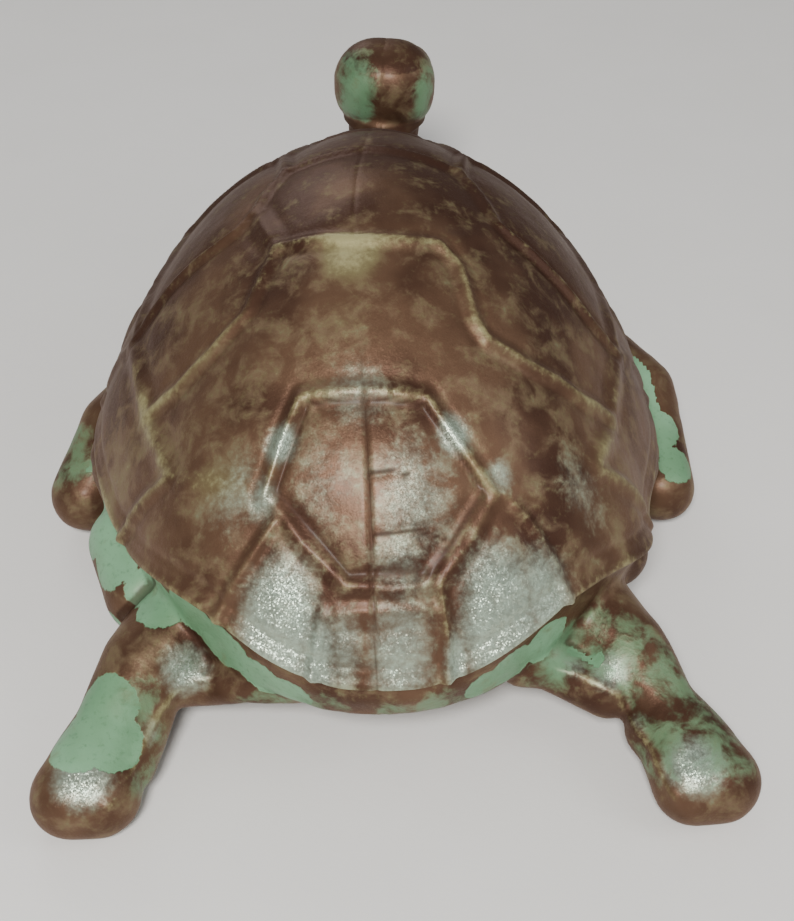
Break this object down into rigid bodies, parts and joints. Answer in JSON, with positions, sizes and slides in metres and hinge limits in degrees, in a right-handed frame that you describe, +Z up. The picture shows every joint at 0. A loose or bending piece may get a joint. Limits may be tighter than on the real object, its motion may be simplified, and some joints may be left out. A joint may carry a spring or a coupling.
{
  "type": "wind-up turtle toy",
  "caption": "Hollow moulded wind-up turtle with a nodding head, splayed legs, and a key-wound clockwork motor that drives two wheels under the belly.",
  "frame": {"origin": "on the floor, under the middle of the turtle's length and width", "axes": "+Z up, +Y the way the turtle looks and drives, +X to its right"},
  "size_m": [0.0704, 0.0998, 0.043],
  "materials": {
    "shell": "brown metallic paint, worn thin on the ridges, over green moulded celluloid",
    "body": "mint green celluloid with flaked brown metallic paint",
    "head": "mint green celluloid with rubbed brown metallic paint",
    "iron": "plain slug, dull",
    "tin": "tinplate, slightly tarnished",
    "brass": "stamped clock brass, aged",
    "steel": "turned steel, oiled",
    "spring": "blued spring steel",
    "tyre": "dark moulded rubber"
  },
  "bodies": {
    "root": {"carapace_left": "shell", "carapace_right": "shell", "underbody_left": "body", "underbody_right": "body", "neck_pin": "steel", "neck_brackets": "tin", "bracket_rivets": "brass", "base_plate": "tin", "upper_plate": "tin", "motor_pillars": "steel", "pillar_nuts": "brass", "base_screws": "steel", "screw_nuts": "brass", "mainspring": "spring"},
    "key": {"winding_key": "tin", "key_pin": "steel", "winding_arbor": "steel", "ratchet_wheel": "steel"},
    "great": {"great_wheel": "brass", "click_spring": "spring", "click_rivet": "steel"},
    "second": {"second_arbor": "steel", "second_pinion": "brass", "crown_wheel": "brass", "governor_drive_wheel": "brass"},
    "governor": {"governor_arbor": "steel", "governor_pinion": "brass", "governor_fan": "tin"},
    "drive": {"drive_axle": "steel", "axle_pinion": "brass", "wheel_left": "tin", "wheel_right": "tin", "tyre_left": "tyre", "tyre_right": "tyre"},
    "head": {"head_left": "head", "head_right": "head", "neck_bush": "brass", "balance_arm": "steel", "balance_weight": "iron"}
  },
  "joints": [
    {"name": "great_wheel_spin", "type": "hinge", "parent": "root", "child": "great", "pos_m": [0, -0.013, 0.012], "axis": [0, 0, 1], "continuous": true},
    {"name": "second_arbor_spin", "type": "hinge", "parent": "root", "child": "second", "pos_m": [0, 0.001, 0.012], "axis": [0, 0, 1], "continuous": true},
    {"name": "governor_spin", "type": "hinge", "parent": "root", "child": "governor", "pos_m": [0, 0.0106, 0.015], "axis": [0, 0, 1], "continuous": true},
    {"name": "drive_axle_spin", "type": "hinge", "parent": "root", "child": "drive", "pos_m": [0, 0.001, 0.006], "axis": [1, 0, 0], "continuous": true},
    {"name": "key_turn", "type": "hinge", "parent": "root", "child": "key", "pos_m": [0, -0.013, 0.005], "axis": [0, 0, 1], "continuous": true, "deforming": ["mainspring", "click_spring"]},
    {"name": "head_nod", "type": "hinge", "parent": "root", "child": "head", "pos_m": [0, 0.029, 0.019], "axis": [1, 0, 0], "range_deg": [-8, 8]}
  ],
  "couplings": [
    {"joint": "second_arbor_spin", "follows": "great_wheel_spin", "ratio": -3},
    {"joint": "governor_spin", "follows": "great_wheel_spin", "ratio": 9},
    {"joint": "drive_axle_spin", "follows": "great_wheel_spin", "ratio": 6.6667}
  ]
}
